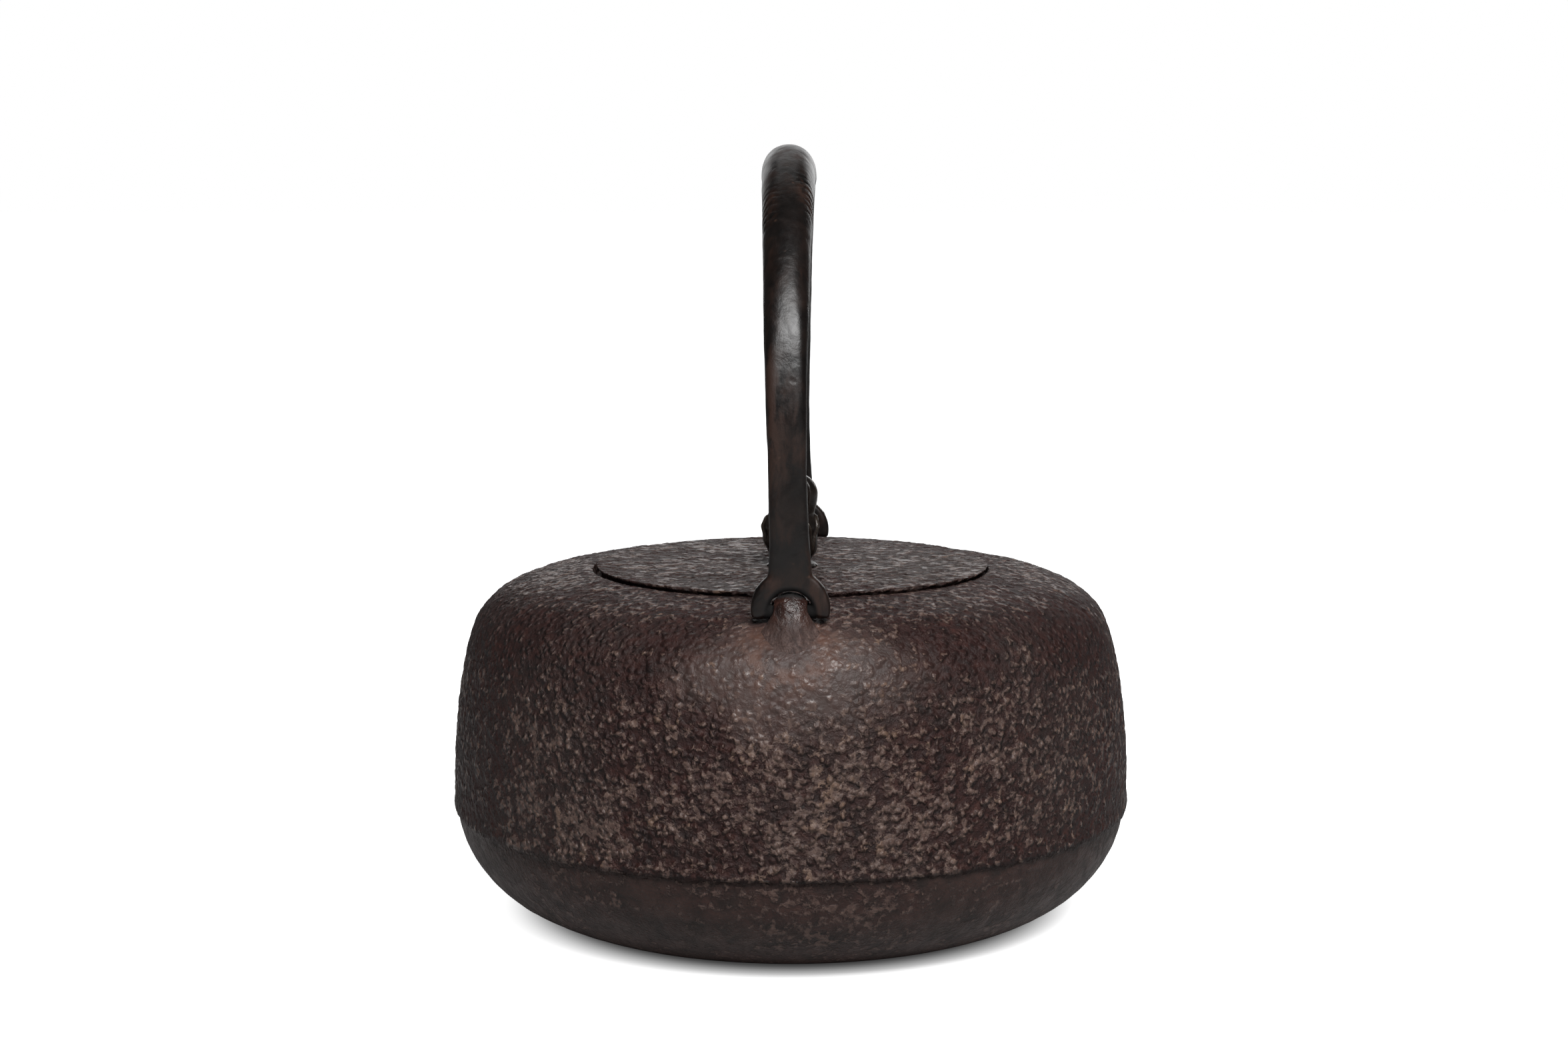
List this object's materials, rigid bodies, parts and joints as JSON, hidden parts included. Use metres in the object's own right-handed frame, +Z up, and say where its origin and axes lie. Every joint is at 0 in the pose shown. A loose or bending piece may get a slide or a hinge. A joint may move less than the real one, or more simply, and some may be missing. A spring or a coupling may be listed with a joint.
{
  "type": "cast iron kettle",
  "caption": "Flat round cast iron kettle (tetsubin) with a lift-off lid, a bud-shaped knob, a short spout and an arched iron handle hooked into cast lugs.",
  "frame": {"origin": "centre of the flat underside that the kettle stands on, on the body's axis", "axes": "+Z up along the body's axis, +Y towards the spout with the handle arching in the YZ plane, +X to the right when the kettle is seen from behind, looking along +Y"},
  "size_m": [0.19, 0.2069, 0.2135],
  "materials": {
    "rough_iron": "rough cast skin, seasoned",
    "pan_iron": "smooth cast, heat dulled",
    "lug_iron": "smooth cast, worn shiny, rust around the foot",
    "handle_iron": "forged, oiled black, rust-brown wear",
    "dark_bronze": "dark patinated bronze"
  },
  "bodies": {
    "kettle": {"upper_body": "rough_iron", "lower_body": "pan_iron", "spout": "rough_iron", "rear_lug": "lug_iron", "front_lug": "lug_iron"},
    "handle": {"handle": "handle_iron"},
    "lid": {"lid": "rough_iron", "knob_seat": "dark_bronze", "knob_washer": "dark_bronze"},
    "knob": {"knob": "dark_bronze", "split_pin": "dark_bronze"}
  },
  "joints": [
    {"name": "lid_lift", "type": "slide", "parent": "kettle", "child": "lid", "axis": [0, 0, 1], "range_m": [0, 0.06]},
    {"name": "handle_rock", "type": "hinge", "parent": "kettle", "child": "handle", "pos_m": [0.0009, 0, 0.0952], "axis": [0, 1, 0], "range_deg": [-2.3, 3.7]},
    {"name": "knob_spin", "type": "hinge", "parent": "lid", "child": "knob", "pos_m": [0.0004, 0, 0.097], "axis": [0, 0, 1], "continuous": true}
  ]
}
